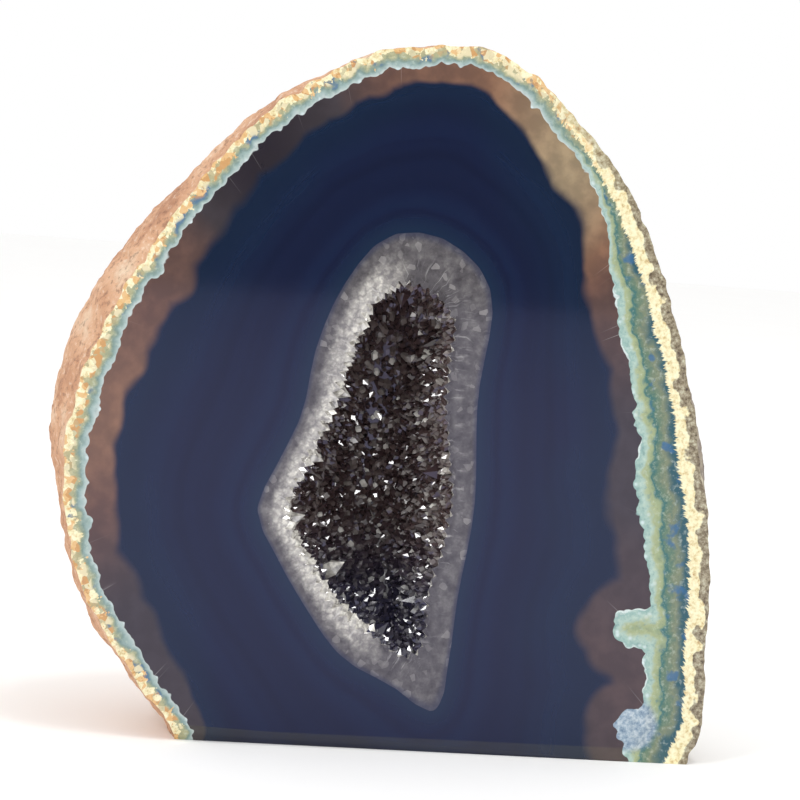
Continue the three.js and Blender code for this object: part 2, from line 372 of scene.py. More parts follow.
right_of_pocket = Vector((30 * MM, FACE_Y, 50 * MM))
print("bands right of the pocket:", [round(value, 1) for value in bands_at(right_of_pocket)])

# %% [markdown]
# ## Sawing and filling the flat faces
# A saw cut is a bisect: it slices the quads at a plane and leaves an open loop. The cut is filled with
# triangles on an even grid, joined to the loop's own points, so that the stored distances have a point to
# sit on every millimetre. A plain fill would give long thin triangles with nothing stored inside them.

# %% Flat caps
GRID = 0.9 * MM  # between the points of a cut's fill
BASE_GRID = 1.6 * MM  # the base is hardly seen, so it is coarser
# The bevel under the face runs out to nothing at its right end.
BEVEL_LEFT = Vector((-37.4, 0, 0)) * MM
BEVEL_RIGHT = Vector((41.9, 0, 0)) * MM
BEVEL_RISE = 2.8 * MM  # up the face, at the left end
BEVEL_SET_BACK = 1.7 * MM  # under the base, at the left end


def open_loops(bm):
    """The open edges of a mesh, walked into closed loops of vertices."""
    neighbours = {}
    for edge in bm.edges:
        if edge.is_boundary:
            for vert in edge.verts:
                neighbours.setdefault(vert, []).append(edge.other_vert(vert))
    loops = []
    waiting = dict.fromkeys(sorted(neighbours, key=lambda v: v.index))
    while waiting:
        loop = [next(iter(waiting))]
        waiting.pop(loop[0])
        while True:
            ahead = [v for v in neighbours[loop[-1]] if v in waiting]
            if not ahead:
                break
            loop.append(ahead[0])
            waiting.pop(ahead[0])
        loops.append(loop)
    return loops


def inside(points, starts, ends):
    """For each flat point, whether a ray from it crosses the loops' edges an odd number of times."""
    result = np.zeros(len(points), bool)
    for i in range(0, len(points), 2000):
        x, y = points[i : i + 2000, 0, None], points[i : i + 2000, 1, None]
        spans = (starts[:, 1] > y) != (ends[:, 1] > y)
        rise = np.where(spans, ends[:, 1] - starts[:, 1], 1.0)
        crossing = starts[:, 0] + (ends[:, 0] - starts[:, 0]) * (y - starts[:, 1]) / rise
        result[i : i + 2000] = (spans & (x < crossing)).sum(1) % 2 == 1
    return result


def fill_flat(bm, loops, across, up, slot, grid=GRID):
    """Fills flat loops, where holes are loops too, with triangles that face across x up."""
    rim = [vert for loop in loops for vert in loop]
    base = rim[0].co.copy()
    flat = np.array([((v.co - base).dot(across), (v.co - base).dot(up)) for v in rim]) / MM
    edges, first = [], 0
    for loop in loops:
        count = len(loop)
        edges += [(first + i, first + (i + 1) % count) for i in range(count)]
        first += count
    starts = flat[[a for a, _ in edges]]
    ends = flat[[b for _, b in edges]]
    step = grid / MM
    xs = np.arange(flat[:, 0].min(), flat[:, 0].max(), step)
    ys = np.arange(flat[:, 1].min(), flat[:, 1].max(), step * 0.87)
    lattice = np.array([(x + step * 0.5 * (j % 2), y) for j, y in enumerate(ys) for x in xs])
    lattice = lattice[inside(lattice, starts, ends)]
    rim_tree = tree_of_points([(x, y, 0) for x, y in flat])
    lattice = [p for p in lattice if rim_tree.find((p[0], p[1], 0))[2] > step * 0.6]
    points = [Vector(p) for p in flat] + [Vector(p) for p in lattice]
    places, _, faces, sources, _, _ = delaunay_2d_cdt(points, edges, [], 0, 1e-7)
    verts = []
    for place, source in zip(places, sources):
        known = [i for i in source if i < len(rim)]
        if known:
            verts.append(rim[known[0]])
        else:
            verts.append(bm.verts.new(base + across * place.x * MM + up * place.y * MM))
    corners = np.array([[places[i] for i in face[:3]] for face in faces])
    kept = inside(corners.mean(1), starts, ends)
    made = []
    for face, corner, keep in zip(faces, corners, kept):
        (ax, ay), (bx, by), (cx, cy) = corner
        twice_area = (bx - ax) * (cy - ay) - (cx - ax) * (by - ay)
        if keep and abs(twice_area) > 1e-9:
            order = face if twice_area > 0 else face[::-1]
            made.append(bm.faces.new([verts[i] for i in order]))
            made[-1].material_index = slot
    bm.verts.index_update()
    return made


def saw(bm, point, outward, across, slot, grid=GRID):
    """Saws the mesh at a plane, drops what is beyond it and fills the cut."""
    geometry = bm.verts[:] + bm.edges[:] + bm.faces[:]
    bmesh.ops.bisect_plane(
        bm, geom=geometry, dist=1e-8, plane_co=point, plane_no=outward, clear_outer=True
    )
    bm.verts.index_update()
    loops = open_loops(bm)
    made = fill_flat(bm, loops, across, outward.cross(across), slot, grid)
    return loops, made


X_AXIS = Vector((1, 0, 0))
SKIN_SLOT, FACE_SLOT, SAWN_SLOT = range(3)
for face in stone.faces:
    face.smooth = True
    if in_pocket(face.calc_center_median()):
        face.material_index = SAWN_SLOT
face_loops, face_made = saw(stone, Vector((0, FACE_Y, 0)), Vector((0, -1, 0)), X_AXIS, FACE_SLOT)
quartz_rim = min(face_loops, key=lambda loop: max(v.co.x for v in loop))
QUARTZ_EDGE = [vert.co.copy() for vert in quartz_rim]
QUARTZ_TREE = tree_of_points(QUARTZ_EDGE)
saw(stone, Vector((0, 0, STONE_LOW.z)), Vector((0, 0, -1)), X_AXIS, SAWN_SLOT, BASE_GRID)
left_top = BEVEL_LEFT + Vector((0, FACE_Y, BEVEL_RISE))
left_under = BEVEL_LEFT + Vector((0, FACE_Y + BEVEL_SET_BACK, 0))
right_end = BEVEL_RIGHT + Vector((0, FACE_Y, 0))
bevel_out = (left_under - left_top).cross(right_end - left_top).normalized()
if bevel_out.y > 0:
    bevel_out.negate()
bevel_across = (right_end - left_top).normalized()
saw(stone, right_end, bevel_out, bevel_across, FACE_SLOT)
print("loops on the face:", [len(loop) for loop in face_loops], "triangles:", len(face_made))

# %% [markdown]
# ## Agate
# Agate is chalcedony: quartz in fibres too fine to see, laid down layer on layer. Polished with fine
# oxide on felt it has a glassy gloss, so its IOR is quartz's 1.54 and its roughness a few hundredths.
# This stone was dyed. The outermost layers took a pale green and cream, the smoky layer inside them
# stayed as it was, and the middle went a blue so deep that it looks black away from the light.
# The materials read stored growth distances, and each layer has a function of its own. Where one strength
# limits another, it is linked in as the upper end of the other's range, which multiplies the two.

# %% The blue middle and the smoky layer
SCALLOP = 1.4  # mm, as are the next two
DOME = 5.0
LOBE = 6.5
ROUNDED = {"Smoothness": 0.3}  # what makes the cells' borders soft
POLISHED = 0.05  # roughness
# The stored distances: mm from the skin and past the rind, share and paleness of the smoky layer, and
# mm from the quartz.
GROWTH = ("skin_mm", "past_rind_mm", "smoky_share", "smoky_pale", "quartz_mm")


def dyed_blue(add, between, share, quartz):
    """The deep blue middle, with faint bands that run between the rind and the quartz."""
    broad = add("TexNoise", {"W": between, "Scale": 7.0, "Detail": 1.0}, noise_dimensions="1D")
    fine = add("TexNoise", {"W": between, "Scale": 38.0, "Detail": 2.0}, noise_dimensions="1D")
    bands = add("Math", {0: fine, 1: 0.16, 2: broad}, operation="MULTIPLY_ADD")
    blue = add(
        "ValToRGB",
        {0: bands},
        stops=[(0.4, "#070e29"), (0.55, "#09112d"), (0.66, "#0b1532"), (0.8, "#0b1834")],
    )
    # It turns to teal towards the smoky layer and pales against the quartz.
    teal = add("MapRange", {0: share, 1: 3.4, 2: 0.9, 4: 0.45})
    halo = add("MapRange", {0: quartz, 1: 3.4, 2: 0.0, 4: 0.27})
    blue = add("Mix", {0: teal, 6: blue, 7: "#0c2438"})
    return add("Mix", {0: halo, 6: blue, 7: "#1a3443"})


def smoky_layer(add, place, outward, pale, edge):
    """The smoky layer, greyer or browner round the stone, with hair-fine pale lines across it."""
    smoke = add(
        "ValToRGB",
        {0: pale},
        stops=[(0.0, "#1c1418"), (0.3, "#40393a"), (0.5, "#6e5042"), (0.65, "#8a664e"), (1.0, "#a99676")],
    )
    cloud = add("TexNoise", {"Vector": place, "Scale": 1 / 3.2, "Detail": 4.0})
    cloud_dark = add("MapRange", {0: cloud, 1: 0.35, 2: 0.7, 3: 0.35, 4: 0.0})
    near_rind = add("MapRange", {0: edge, 1: 3.2, 2: 0.2, 4: 0.4})
    hairs = add("TexNoise", {"Vector": outward, "Scale": 75.0, "Detail": 1.0})
    hairs = add("MapRange", {0: hairs, 1: 0.69, 2: 0.77, 4: near_rind})
    smoke = add("Mix", {0: cloud_dark, 6: smoke, 7: "#2b2422"})
    return add("Mix", {0: hairs, 6: smoke, 7: "#d8d2cc"})


print("the agate's layers read", GROWTH)

# %% [markdown]
# ## The rind
# The rind is a stack of thin layers, and they aren't the same all round: thick and green on the right,
# thin and grey on the left. A colour ramp for each side reads how deep a point is, as a share of the
# rind's width. Everything that grew or soaked into the layers is then laid over them in one loop, each
# with its own strength: grains, stains, cream crystals and clay, and with them a painted highlight in the
# core of each dome of the inner edge. Drawing them one over another keeps each simple, where a single
# large ramp would repeat itself all the way round.

# %% The rind's colours


def plain_rind(add, layered, right):
    """The rind's own layers, from its inner edge out: a pale edge, then a yellow-green and a teal line
    and olive on the thick right side, and plain grey-green on the thin left side."""
    thick = add(
        "ValToRGB",
        {0: layered},
        stops=[
            (0.0, "#d3dfdb"),
            (0.025, "#8fb0a8"),
            (0.13, "#a8c0b4"),
            (0.2, "#a2ab80"),
            (0.27, "#93a27a"),
            (0.31, "#3a6c69"),
            (0.37, "#5f7a64"),
            (0.5, "#7c8468"),
            (0.62, "#2d565e"),
        ],
    )
    thin = add(
        "ValToRGB",
        {0: layered},
        stops=[
            (0.0, "#c0c9c6"),
            (0.14, "#9fb3b0"),
            (0.3, "#7f958c"),
            (0.48, "#a3a582"),
            (1.0, "#b9ab80"),
        ],
    )
    return add("Mix", {0: right, 6: thin, 7: thick})


def rind_colour(add, place, outward, skin, rind_width, edge, scallops):
    """The rind: its own layers, all that grew or soaked into them, and painted highlights in its domes.
    """
    east = add("SeparateXYZ", {0: place})
    right = add("MapRange", {0: east, 1: 14.0, 2: 34.0})
    left = add("MapRange", {0: east, 1: 34.0, 2: 14.0})

    # The layers bulge in domes of about 5 mm, with a fine unevenness on top.
    depth = add("Math", {0: edge, 1: rind_width}, operation="DIVIDE")
    domes = add("TexVoronoi", {"Vector": place, **ROUNDED, "Scale": 1 / DOME}, feature="SMOOTH_F1")
    grain = add("TexNoise", {"Vector": place, "Scale": 1 / 0.9, "Detail": 4.0, "Roughness": 0.7})
    swells = add("Math", {0: grain, 1: 0.16, 2: -0.14}, operation="MULTIPLY_ADD")
    swells = add("Math", {0: domes, 1: 0.16, 2: swells}, operation="MULTIPLY_ADD")
    layered = add("Math", {0: depth, 1: -1.0, 2: swells}, operation="MULTIPLY_ADD")

    # Light and dark grains, and a painted highlight on the core of each dome of the inner edge.
    speckle = add("MapRange", {0: grain, 1: 0.5, 2: 0.72, 4: 0.3})
    shadow = add("MapRange", {0: grain, 1: 0.5, 2: 0.3, 4: 0.35})
    near_edge = add("MapRange", {0: layered, 1: 0.3, 2: 0.08, 4: 0.6})
    dome_highlights = add("MapRange", {0: scallops, 1: 0.34, 2: 0.08, 4: near_edge})

    # The patch at the lower right took the dye as a bluish white.
    patch_middle = (PATCH[1].x, FACE_Y / MM, PATCH[1].y)
    from_patch = add("VectorMath", {0: place, 1: patch_middle}, out=1, operation="DISTANCE")
    in_patch = add("MapRange", {0: from_patch, 1: 4.8, 2: 3.4, 4: 0.8})
    bluish = [(0.35, "#5c7391"), (0.5, "#96a6ba"), (0.65, "#c6cfd8")]
    patch_tone = add("ValToRGB", {0: grain}, stops=bluish)

    # Blue dye stains the outer layers.
    stain = add("TexNoise", {"Vector": place, "Scale": 1 / 3.2, "Detail": 3.0})
    stained_zone = add("MapRange", {0: layered, 1: 0.22, 2: 0.4, 4: 0.75})
    blue_stain = add("MapRange", {0: stain, 1: 0.56, 2: 0.66, 4: stained_zone})

    # Grains of orange and cream carbonate sit in the thin rind's outer half.
    grains = add("TexVoronoi", {"Vector": place, "Scale": 1 / 0.9}, out=1)
    grain_zone = add("MapRange", {0: layered, 1: 0.42, 2: 0.62, 4: left})
    orange = add("MapRange", {0: grains, 1: 0.6, 2: 0.7, 4: 0.8})
    orange = add("Math", {0: orange, 1: grain_zone}, operation="MULTIPLY")
    creamy = add("MapRange", {0: grains, 1: 0.4, 2: 0.3, 4: 0.85})
    creamy = add("Math", {0: creamy, 1: grain_zone}, operation="MULTIPLY")

    # Cream crystals grow inwards under the skin: in spikes on the right, in broken patches on the left.
    spikes = add("TexNoise", {"Vector": outward, "Scale": 70.0, "Detail": 5.0, "Roughness": 0.8})
    cream_width = add("Math", {0: right, 1: 2.4}, operation="MULTIPLY")
    cream_edge = add("Math", {0: spikes, 1: 3.4, 2: cream_width}, operation="MULTIPLY_ADD")
    cream_edge = add("Math", {0: cream_edge, 1: skin}, operation="SUBTRACT")
    patches = add("TexNoise", {"Vector": place, "Scale": 1 / 2.1, "Detail": 3.0, "Roughness": 0.65})
    patches = add("Math", {0: patches, 1: 9.0, 2: -4.6}, operation="MULTIPLY_ADD")
    cream_edge = add("Math", {0: patches, 1: left, 2: cream_edge}, operation="MULTIPLY_ADD")
    cream = add("MapRange", {0: cream_edge, 1: 0.75, 2: 0.95})
    cream_stops = [(0.28, "#b58a58"), (0.4, "#dccb98"), (0.52, "#efe6bd"), (0.68, "#f4f0d2")]
    cream_tone = add("ValToRGB", {0: grain}, stops=cream_stops)
    tan = add("MapRange", {0: grains, 1: 0.5, 2: 0.62, 4: 0.75})
    tan = add("Math", {0: tan, 1: left}, operation="MULTIPLY")
    cream_tone = add("Mix", {0: tan, 6: cream_tone, 7: "#dba664"})

    # Outside that, the cut runs through clay-stained skin on the right.
    clay = add("Math", {0: stain, 1: -5.5, 2: skin}, operation="MULTIPLY_ADD")
    clay = add("MapRange", {0: clay, 1: -1.2, 2: -1.5, 4: right})
    clay_stops = [(0.33, "#4c3d33"), (0.44, "#7c6f55"), (0.55, "#a0957b"), (0.68, "#cbc9ae")]
    clay_tone = add("ValToRGB", {0: grain}, stops=clay_stops)

    rind = plain_rind(add, layered, right)
    for share, tint in (
        (speckle, "#e2ebdc"),
        (shadow, "#39605f"),
        (dome_highlights, "#dce8ea"),
        (in_patch, patch_tone),
        (blue_stain, "#2f6390"),
        (orange, "#cf9556"),
        (creamy, "#e6d9b2"),
        (cream, cream_tone),
        (clay, clay_tone),
    ):
        rind = add("Mix", {0: share, 6: rind, 7: tint})
    return rind


print("the rind swells in domes of", DOME, "mm and ends in scallops of", SCALLOP, "mm")

# %% [markdown]
# ## The agate's surfaces
# The layers meet in one colour. Their borders are made wavy with round cells, since agate grows in little
# domes and its layers end in scallops about 1.4 mm across. The same colour is used twice, polished on the
# face and dull on the sawn base, and the weathered skin has a colour of its own.

# %% The agate's materials


def agate_colour(add):
    """The colour of the agate's layers, and where the rind is, from the growth distances."""
    place = position_mm(add)
    skin, past, smoky, pale, quartz = [add("Attribute", attribute_name=name) for name in GROWTH]

    # Wavy borders: scallops on the rind's inner edge, wider lobes on the smoky layer's.
    scallops = add("TexVoronoi", {"Vector": place, **ROUNDED, "Scale": 1 / SCALLOP}, feature="SMOOTH_F1")
    ripple = add("TexNoise", {"Vector": place, "Scale": 1 / 5, "Detail": 2.0})
    edge = add("Math", {0: scallops, 1: 0.95, 2: past}, operation="MULTIPLY_ADD")
    edge = add("Math", {0: ripple, 1: 1.6, 2: edge}, operation="MULTIPLY_ADD")
    edge = add("Math", {0: edge, 1: 1.25}, operation="SUBTRACT")
    lobes = add("TexVoronoi", {"Vector": place, **ROUNDED, "Scale": 1 / LOBE}, feature="SMOOTH_F1")
    share = add("Math", {0: lobes, 1: 0.5, 2: smoky}, operation="MULTIPLY_ADD")
    share = add("Math", {0: share, 1: 0.2}, operation="SUBTRACT")

    # How far a point is on the way from the quartz to the rind, with a ripple.
    reach = add("Math", {0: quartz, 1: past}, operation="ADD")
    between = add("Math", {0: quartz, 1: reach}, operation="DIVIDE")
    between = add("Math", {0: ripple, 1: 0.05, 2: between}, operation="MULTIPLY_ADD")

    # The way out from the middle of the face. A noise that is read at it comes out as rays.
    outward = add("VectorMath", {0: place, 1: (FACE_MIDDLE.x, 0, FACE_MIDDLE.y)}, operation="SUBTRACT")
    outward = add("VectorMath", {0: outward, 1: (1, 0, 1)}, operation="MULTIPLY")
    outward = add("VectorMath", {0: outward}, operation="NORMALIZE")
    rind_width = add("Math", {0: skin, 1: past}, operation="SUBTRACT")
    rind_width = add("Math", {0: rind_width, 1: 1.0}, operation="MAXIMUM")

    blue = dyed_blue(add, between, share, quartz)
    smoke = smoky_layer(add, place, outward, pale, edge)
    rind = rind_colour(add, place, outward, skin, rind_width, edge, scallops)
    into_blue = add("MapRange", {0: share, 1: 0.72, 2: 1.08})
    inner = add("Mix", {0: into_blue, 6: smoke, 7: blue})
    in_rind = add("MapRange", {0: edge, 1: 0.06, 2: -0.06})
    return add("Mix", {0: in_rind, 6: inner, 7: rind}), in_rind


def polished_agate():
    """Agate lapped and polished to a mirror: the face and the bevel."""
    material, shader, add = new_material("polished_agate", POLISHED, 1.54)
    colour, in_rind = agate_colour(add)
    plug(material, colour, shader["Base Color"])
    # The porous rind takes a poorer polish than the dense middle.
    plug(material, add("MapRange", {0: in_rind, 3: POLISHED, 4: 0.2}), shader["Roughness"])
    pits = add("TexNoise", {"Vector": position_mm(add), "Scale": 1 / 0.7, "Detail": 3.0})
    height = add("Math", {0: pits, 1: in_rind}, operation="MULTIPLY")
    relief = add("Bump", {"Strength": 0.25, "Distance": 0.2 * MM, "Height": height})
    plug(material, relief, shader["Normal"])
    return material


def sawn_agate():
    """Agate as the diamond saw leaves it, under the base: dull, with fine parallel arcs."""
    material, shader, add = new_material("sawn_agate", 0.5, 1.54)
    colour, _ = agate_colour(add)
    plug(material, add("Mix", {0: 0.16, 6: colour, 7: "#a9a8ab"}), shader["Base Color"])
    # Real saw marks are about 0.1 mm apart. They are drawn at 0.6 mm so that they show.
    marks = add(
        "TexWave",
        {"Vector": position_mm(add), "Scale": 1 / 0.6, "Distortion": 1.5, "Detail": 2.0},
        out=1,
        bands_direction="Y",
    )
    plug(material, add("MapRange", {0: marks, 3: 0.42, 4: 0.6}), shader["Roughness"])
    relief = add("Bump", {"Strength": 0.2, "Distance": 0.05 * MM, "Height": marks})
    plug(material, relief, shader["Normal"])
    return material


def weathered_rind():
    """The skin: weathered chalcedony with clay and iron stains, matt, pitted and peach to grey brown."""
    material, shader, add = new_material("weathered_rind", 0.82, 1.5)
    place = position_mm(add)
    broad = add("TexNoise", {"Vector": place, "Scale": 1 / 9, "Detail": 5.0, "Roughness": 0.6})
    tone = add(
        "ValToRGB",
        {0: broad},
        stops=[(0.3, "#b17d5e"), (0.43, "#cf9b77"), (0.55, "#e0b18d"), (0.7, "#ebceb0")],
    )
    speck = add("TexNoise", {"Vector": place, "Scale": 1 / 1.1, "Detail": 4.0, "Roughness": 0.65})
    dark = add("MapRange", {0: speck, 1: 0.48, 2: 0.34, 4: 0.6})
    tone = add("Mix", {0: dark, 6: tone, 7: "#8a5f49"})
    light = add("MapRange", {0: speck, 1: 0.54, 2: 0.7, 4: 0.5})
    tone = add("Mix", {0: light, 6: tone, 7: "#fbe9d3"})
    # The skin is greyer and darker towards the right.
    east = add("SeparateXYZ", {0: place})
    wander = add("Math", {0: broad, 1: 40.0, 2: east}, operation="MULTIPLY_ADD")
    toward_right = add("MapRange", {0: wander, 1: 34.0, 2: 62.0})
    patchy = add("TexNoise", {"Vector": place, "Scale": 1 / 4.5, "Detail": 6.0, "Roughness": 0.68})
    grey = add(
        "ValToRGB",
        {0: patchy},
        stops=[
            (0.3, "#4d4541"),
            (0.42, "#80746a"),
            (0.52, "#9d8f7b"),
            (0.6, "#aa9d86"),
            (0.72, "#d3c9ae"),
        ],
    )
    rusty = add("MapRange", {0: broad, 1: 0.55, 2: 0.7, 4: 0.6})
    grey = add("Mix", {0: rusty, 6: grey, 7: "#9a6a4c"})
    grey = add("Mix", {0: dark, 6: grey, 7: "#5f554c"})
    grey = add("Mix", {0: light, 6: grey, 7: "#cfc8b4"})
    tone = add("Mix", {0: toward_right, 6: tone, 7: grey})
    plug(material, tone, shader["Base Color"])
    crumbs = add("TexNoise", {"Vector": place, "Scale": 1 / 0.5, "Detail": 4.0, "Roughness": 0.7})
    relief = add("Bump", {"Strength": 0.9, "Distance": 0.4 * MM, "Height": crumbs})
    plug(material, relief, shader["Normal"])
    return material


agate_materials = [weathered_rind(), polished_agate(), sawn_agate()]
print("agate materials:", [material.name for material in agate_materials])

# %% [markdown]
# ## The agate as a piece
# The stone's mesh now carries the distances as attributes, one number at each point. Attributes are
# read between points as straight lines, so a millimetre grid is enough for layers that only bend slowly,
# and the material adds the waviness that is finer than that.

# %% Store the distances and make the agate piece


def store(mesh, name, values):
    """Keeps one number for each point of a mesh, for the materials to read."""
    mesh.attributes.new(name, "FLOAT", "POINT").data.foreach_set("value", values)


# What a point of the skin stores, where no material reads it.
ON_THE_SKIN = (0.0, -3.0, 0.0, 0.5, 20.0)


def as_piece(name, bm, materials):
    """A bmesh as an object that rides on the stone."""
    mesh = bpy.data.meshes.new(name)
    bm.to_mesh(mesh)
    bm.free()
    for material in materials:
        mesh.materials.append(material)
    piece = bpy.data.objects.new(name, mesh)
    bpy.context.scene.collection.objects.link(piece)
    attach(piece, "root")
    return piece


cut_faces = [face for face in stone.faces if face.material_index != SKIN_SLOT]
cut_verts = {vert for face in cut_faces for vert in face.verts}
growth = []
for vert in stone.verts:
    if vert in cut_verts:
        growth.append((*bands_at(vert.co), QUARTZ_TREE.find(vert.co)[2] / MM))
    else:
        growth.append(ON_THE_SKIN)
agate = as_piece("agate_stone", stone, agate_materials)
for i, name in enumerate(GROWTH):
    store(agate.data, name, [values[i] for values in growth])
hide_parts("agate_half")
print("agate piece:", len(agate.data.vertices), "points,", len(agate.data.polygons), "faces")

# %% [markdown]
# ## The quartz band and its hollow
# Once the agate had filled most of the bubble, clear water left quartz: first a band of crystals packed
# side by side, which the cut shows as a grey ring with fine rays, then free crystals that point into the
# hollow. The ring is filled between the agate's edge and the mouth. The mouth is ragged, because the saw
# went through the crystals that stood there. Two bowls, one for the ring's back and one for the hollow's
# wall, close the bed into a solid.

# %% The bed
MOUTH_OUTLINE = [  # mm, x and z on the face
    (3.1, 14.4),
    (-2.3, 17.0),
    (-8.2, 20.8),
    (-13.0, 26.8),
    (-16.6, 32.5),
    (-17.9, 36.6),
    (-14.9, 45.4),
    (-12.1, 52.4),
    (-10.7, 58.2),
    (-8.8, 64.8),
    (-6.7, 70.0),
    (-2.1, 72.2),
    (2.5, 71.0),
    (6.4, 66.6),
    (6.2, 61.4),
    (6.1, 55.0),
    (7.0, 47.6),
    (8.2, 39.5),
    (7.3, 31.5),
    (5.6, 24.5),
    (5.6, 17.6),
]
POCKET_MIDDLE = Vector((-2.1, 42.0))
SHOULDER = 0.9 * MM  # straight wall between the mouth and the hollow's bowl
HOLLOW_DEPTH = 21.5 * MM
BED_DEPTH = DRUSE_HIGH.y - FACE_Y
RING_GRID = 0.8 * MM
TOOTH_SPACING = 0.8  # mm between a tooth's tip and the notch beside it
CURVE_STEPS = 16
Z_AXIS = Vector((0, 0, 1))


def closed_curve(points, spacing):
    """A smooth closed curve through flat points, as points an even spacing apart."""
    dense = []
    for i in range(len(points)):
        a, b, c, d = (Vector(points[(i + k) % len(points)]) for k in (-1, 0, 1, 2))
        for step in range(CURVE_STEPS):
            t = step / CURVE_STEPS
            bend = 2 * a - 5 * b + 4 * c - d
            twist = 3 * b - a - 3 * c + d
            dense.append((2 * b + (c - a) * t + bend * t**2 + twist * t**3) / 2)
    lengths = [(q - p).length for p, q in zip(dense, dense[1:] + dense[:1])]
    total = sum(lengths)
    count = 2 * round(total / spacing / 2)
    even, passed, segment = [], 0.0, 0
    for i in range(count):
        wanted = total * i / count
        while passed + lengths[segment] < wanted:
            passed += lengths[segment]
            segment += 1
        start, end = dense[segment], dense[(segment + 1) % len(dense)]
        even.append(start.lerp(end, (wanted - passed) / lengths[segment]))
    return even


def on_face(flat, behind=0.0):
    """A point of the face from its x and z in mm, or the point that far behind it, in metres."""
    return Vector((flat.x * MM, FACE_Y + behind, flat.y * MM))


def leftness(flat):
    """1 along the left of the mouth, where the crystals are large and pale, 0 along its right."""
    share = (POCKET_MIDDLE.x + 1.5 - flat.x) / 5
    return max(0.0, min(1.0, share))


def toothed(curve):
    """The mouth's curve with every other point drawn inwards, where a crystal was cut through."""
    teeth = []
    for i, point in enumerate(curve):
        ahead = curve[(i + 1) % len(curve)] - curve[i - 1]
        inwards = Vector((-ahead.y, ahead.x)).normalized()
        if inwards.dot(POCKET_MIDDLE - point) < 0:
            inwards.negate()
        size = 0.9 + 0.6 * leftness(point)
        reach = random.uniform(0.35, 1.0) * size if i % 2 else -random.uniform(0.0, 0.3) * size
        teeth.append(point + inwards * reach)
    return teeth


def bowl(bm, rim, middle, depth, rows, slot):
    """Closes a loop of points with a bowl that goes straight back and rounds off to a pole."""
    previous = rim
    for row in range(1, rows):
        turn = row / rows * math.pi / 2
        ring = []
        for vert in rim:
            place = middle + (vert.co - middle) * math.cos(turn)
            ring.append(bm.verts.new(place + Vector((0, depth * math.sin(turn), 0))))
        for i, vert in enumerate(ring):
            near = previous[i - 1], previous[i]
            bm.faces.new((*near, vert, ring[i - 1])).material_index = slot
        previous = ring
    pole = bm.verts.new(middle + Vector((0, depth, 0)))
    for i, vert in enumerate(previous):
        bm.faces.new((previous[i - 1], vert, pole)).material_index = slot


RING_SLOT, POINT_SLOT, PALE_SLOT = range(3)
mouth_curve = closed_curve(MOUTH_OUTLINE, TOOTH_SPACING)
bed = bmesh.new()
outer_rim = [bed.verts.new(point) for point in QUARTZ_EDGE]
mouth_rim = [bed.verts.new(on_face(point)) for point in toothed(mouth_curve)]
fill_flat(bed, [outer_rim, mouth_rim], X_AXIS, Z_AXIS, RING_SLOT, RING_GRID)
bowl(bed, outer_rim, on_face(POCKET_MIDDLE), BED_DEPTH, 14, POINT_SLOT)
shoulder = [bed.verts.new(on_face(point, SHOULDER)) for point in mouth_curve]
for i, vert in enumerate(shoulder):
    bed.faces.new((mouth_rim[i - 1], mouth_rim[i], vert, shoulder[i - 1])).material_index = PALE_SLOT
bowl(bed, shoulder, on_face(POCKET_MIDDLE, SHOULDER), HOLLOW_DEPTH, 16, POINT_SLOT)
bmesh.ops.recalc_face_normals(bed, faces=bed.faces)
print("mouth points:", len(mouth_curve), "bed faces:", len(bed.faces))

# %% [markdown]
# ## The crystals
# A druse is a crowd of quartz points, each a six-sided prism with a tip whose faces alternate between
# large and small. They grow roughly at right angles to the wall, and each leans its own way, which is
# why a few in every hundred flash at once; a few more are painted white all over, as painted glints.
# Scattering one mesh with instances would be light, but here every crystal gets its own width, length,
# lean and shade, so they are built one by one in a loop, in rows round the hollow that are jittered
# until no row can be seen.

# %% The crystals
POINT_SPACING = 0.98  # mm between crystals on the wall
POINT_WIDTH = (0.8, 1.45)  # mm, least and most, as are the next ones
POINT_LENGTH = (0.7, 1.6)
EDGE_WIDTH = (1.5, 2.4)
EDGE_LENGTH = (1.6, 2.9)
POINT_ROOT = 0.7  # mm of each crystal that is buried in the wall
EDGE_ROWS = (0.02, 0.085)  # how far into the hollow the large pale crystals stand, as turns in radians
LEAN = 0.42  # the spread of the crystals' lean, beside an upright of 1
PAINTED_GLINT_SHARE = 0.03  # of the points are painted white all over, as painted glints
TAPER = 0.06  # share of its width that a crystal loses on the way up
FIRST_ROW = 0.03  # radians into the hollow, as are the next two
RIM_ENDS = 0.3  # where the left rim's crystals are down to the usual size
RIGHT_WALL_ENDS = 0.9  # where the right wall is no paler than the rest
RIM_WIDER = 0.35  # share by which the left rim's crystals are wider, and then longer
RIM_LONGER = 0.3
tones_and_painted_glints = {}


def wall_at(around, turn):
    """A point of the hollow's wall and the way out of it, from a share round the mouth and a turn."""
    count = len(mouth_curve)

    def place(share, angle):
        position = share % 1 * count
        start, end = mouth_curve[int(position) % count], mouth_curve[(int(position) + 1) % count]
        flat = POCKET_MIDDLE + (start.lerp(end, position % 1) - POCKET_MIDDLE) * math.cos(angle)
        return on_face(flat, SHOULDER + HOLLOW_DEPTH * math.sin(angle))

    middle = place(around, turn)
    sideways = place(around + 0.004, turn) - place(around - 0.004, turn)
    deeper = place(around, turn + 0.02) - place(around, turn - 0.02)
    out = sideways.cross(deeper).normalized()
    if out.dot(on_face(POCKET_MIDDLE, HOLLOW_DEPTH * 0.3) - middle) < 0:
        out.negate()
    return middle, out


def left_at(around):
    """How far left the mouth is, by leftness, at a share of the way round it."""
    return leftness(mouth_curve[int(around % 1 * len(mouth_curve))])


